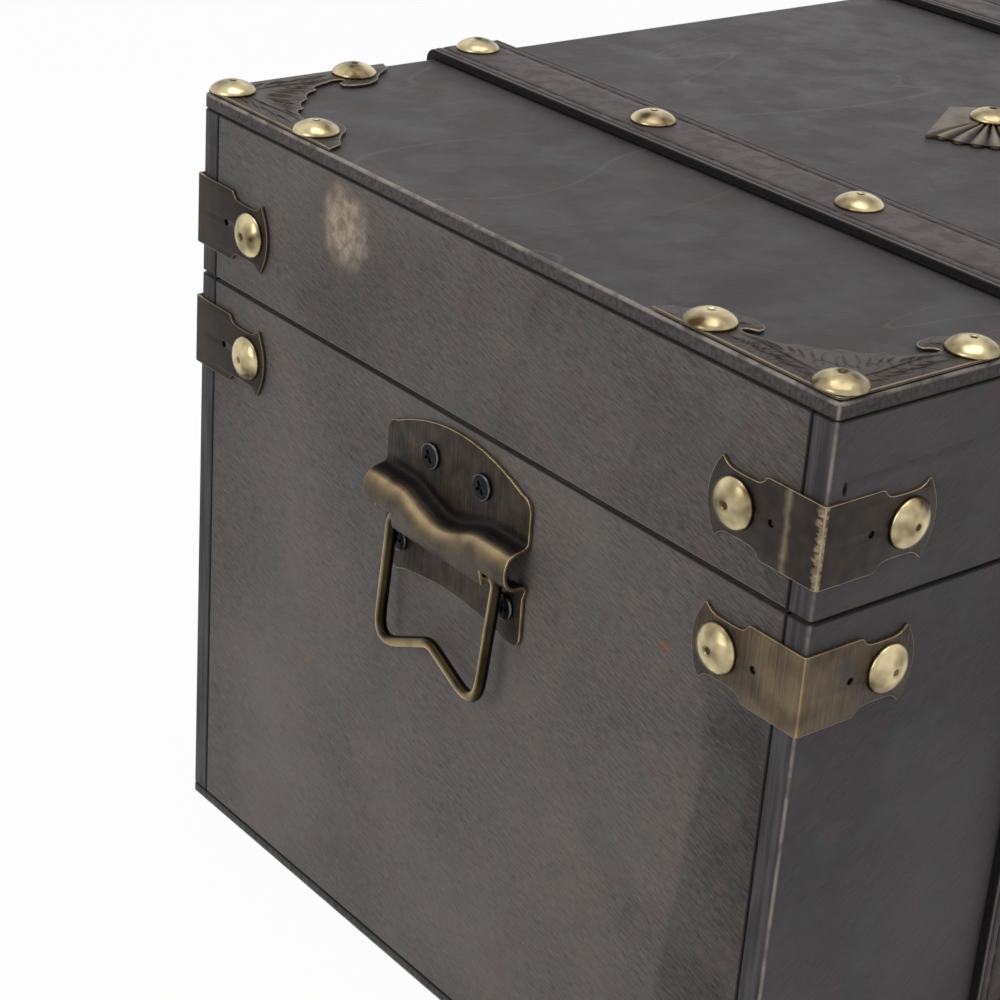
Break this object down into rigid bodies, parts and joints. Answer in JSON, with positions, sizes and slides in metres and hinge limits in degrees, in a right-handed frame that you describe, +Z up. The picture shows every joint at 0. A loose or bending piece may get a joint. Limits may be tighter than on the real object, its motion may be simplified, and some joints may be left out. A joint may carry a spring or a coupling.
{
  "type": "wooden treasure chest",
  "caption": "Small stained-wood treasure chest with hinged lid, stitched leather straps, brass tacks, corner brackets and wire-bail end handles.",
  "frame": {"origin": "centre of the chest's underside, on the surface that it stands on", "axes": "+X to the right along the front, +Y from the front to the back, +Z up"},
  "size_m": [0.375, 0.2558, 0.2251],
  "materials": {
    "stained_wood": "dark stained, lightly sanded",
    "strap_leather": "smooth brown leather with black stitched edges",
    "antique_bronze": "antiqued, rubbed bright at the edges",
    "tack_brass": "worn satin",
    "dark_steel": "blackened"
  },
  "bodies": {
    "base": {"base_front_board": "stained_wood", "base_back_board": "stained_wood", "base_left_board": "stained_wood", "base_right_board": "stained_wood", "base_bottom_panel": "stained_wood", "base_corner_bracket_front_left": "antique_bronze", "base_corner_bracket_front_right": "antique_bronze", "base_corner_bracket_back_right": "antique_bronze", "base_corner_bracket_back_left": "antique_bronze", "base_front_strap_left": "strap_leather", "base_back_strap_left": "strap_leather", "left_handle_plate": "antique_bronze", "left_handle_screw_1": "dark_steel", "left_handle_screw_2": "dark_steel", "left_handle_screw_3": "dark_steel", "left_handle_screw_4": "dark_steel", "left_hinge_base_leaf": "antique_bronze", "left_hinge_pin": "antique_bronze", "base_front_strap_right": "strap_leather", "base_back_strap_right": "strap_leather", "right_handle_plate": "antique_bronze", "right_handle_screw_1": "dark_steel", "right_handle_screw_2": "dark_steel", "right_handle_screw_3": "dark_steel", "right_handle_screw_4": "dark_steel", "right_hinge_base_leaf": "antique_bronze", "right_hinge_pin": "antique_bronze", "hasp_base_plate": "antique_bronze", "hasp_pin": "antique_bronze"},
    "lid": {"lid_front_board": "stained_wood", "lid_back_board": "stained_wood", "lid_left_board": "stained_wood", "lid_right_board": "stained_wood", "lid_top_panel": "stained_wood", "lid_top_corner_plate_front_left": "antique_bronze", "lid_corner_bracket_front_left": "antique_bronze", "lid_top_corner_plate_front_right": "antique_bronze", "lid_corner_bracket_front_right": "antique_bronze", "lid_top_corner_plate_back_right": "antique_bronze", "lid_corner_bracket_back_right": "antique_bronze", "lid_top_corner_plate_back_left": "antique_bronze", "lid_corner_bracket_back_left": "antique_bronze", "lid_strap_left": "strap_leather", "lid_strap_left_tack_1": "tack_brass", "lid_strap_left_tack_2": "tack_brass", "lid_strap_left_tack_3": "tack_brass", "lid_strap_left_tack_4": "tack_brass", "left_hinge_lid_leaf": "antique_bronze", "lid_strap_right": "strap_leather", "lid_strap_right_tack_1": "tack_brass", "lid_strap_right_tack_2": "tack_brass", "lid_strap_right_tack_3": "tack_brass", "lid_strap_right_tack_4": "tack_brass", "right_hinge_lid_leaf": "antique_bronze", "hasp_lid_staple": "antique_bronze", "lid_shell": "antique_bronze", "lid_shell_tack": "tack_brass"},
    "left_bail": {"left_handle_bail": "antique_bronze"},
    "right_bail": {"right_handle_bail": "antique_bronze"},
    "hasp": {"hasp_flap": "antique_bronze"}
  },
  "joints": [
    {"name": "lid_hinge", "type": "hinge", "parent": "base", "child": "lid", "pos_m": [0, 0.1225, 0.1684], "axis": [-1, 0, 0], "range_deg": [0, 105]},
    {"name": "left_bail_swing", "type": "hinge", "parent": "base", "child": "left_bail", "pos_m": [-0.18285, 0, 0.1362], "axis": [0, 1, 0], "range_deg": [0, 90]},
    {"name": "right_bail_swing", "type": "hinge", "parent": "base", "child": "right_bail", "pos_m": [0.18285, 0, 0.1362], "axis": [0, -1, 0], "range_deg": [0, 90]},
    {"name": "hasp_swing", "type": "hinge", "parent": "base", "child": "hasp", "pos_m": [0, -0.1224, 0.1584], "axis": [-1, 0, 0], "range_deg": [0, 180]}
  ]
}
